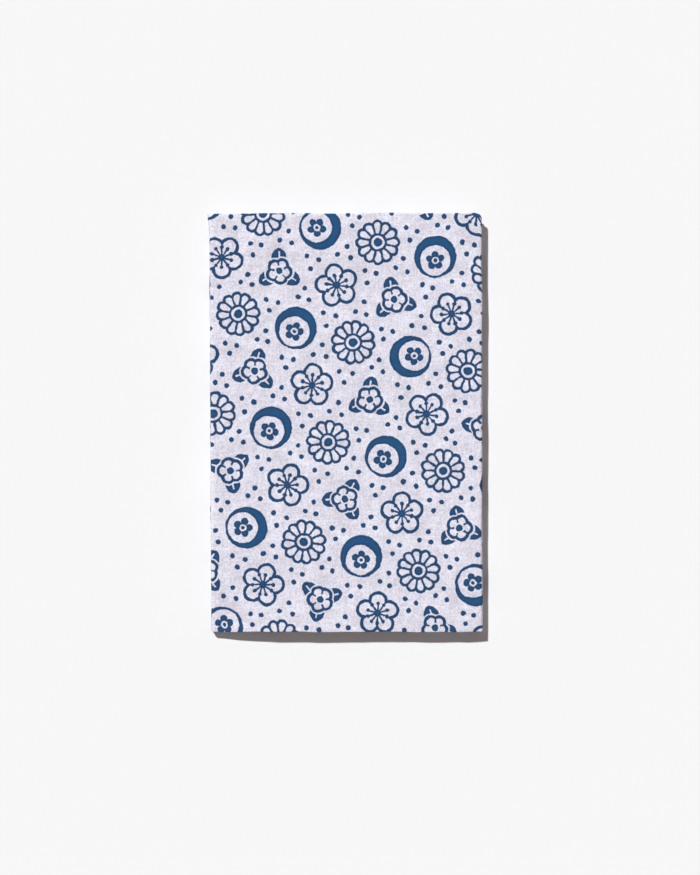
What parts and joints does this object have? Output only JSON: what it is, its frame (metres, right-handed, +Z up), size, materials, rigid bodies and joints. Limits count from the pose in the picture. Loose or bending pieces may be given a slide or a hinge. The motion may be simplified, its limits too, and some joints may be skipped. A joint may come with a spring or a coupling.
{
  "type": "folded tenugui towel",
  "caption": "Thin printed cotton hand towel, doubled across its width and folded over itself into a flat, soft-edged rectangle.",
  "frame": {"origin": "under the middle of the folded cloth, on the surface it lies on", "axes": "+Z up from the surface; +Y towards the edge where the cloth is doubled, along the folded cloth's longer side; +X towards the spine, the fold that goes round every layer"},
  "size_m": [0.1136, 0.1726, 0.009],
  "materials": {
    "cloth": "plain-woven cotton, matt, cool white with an indigo blue print"
  },
  "bodies": {
    "root": {"towel_cloth": "cloth"}
  },
  "joints": []
}
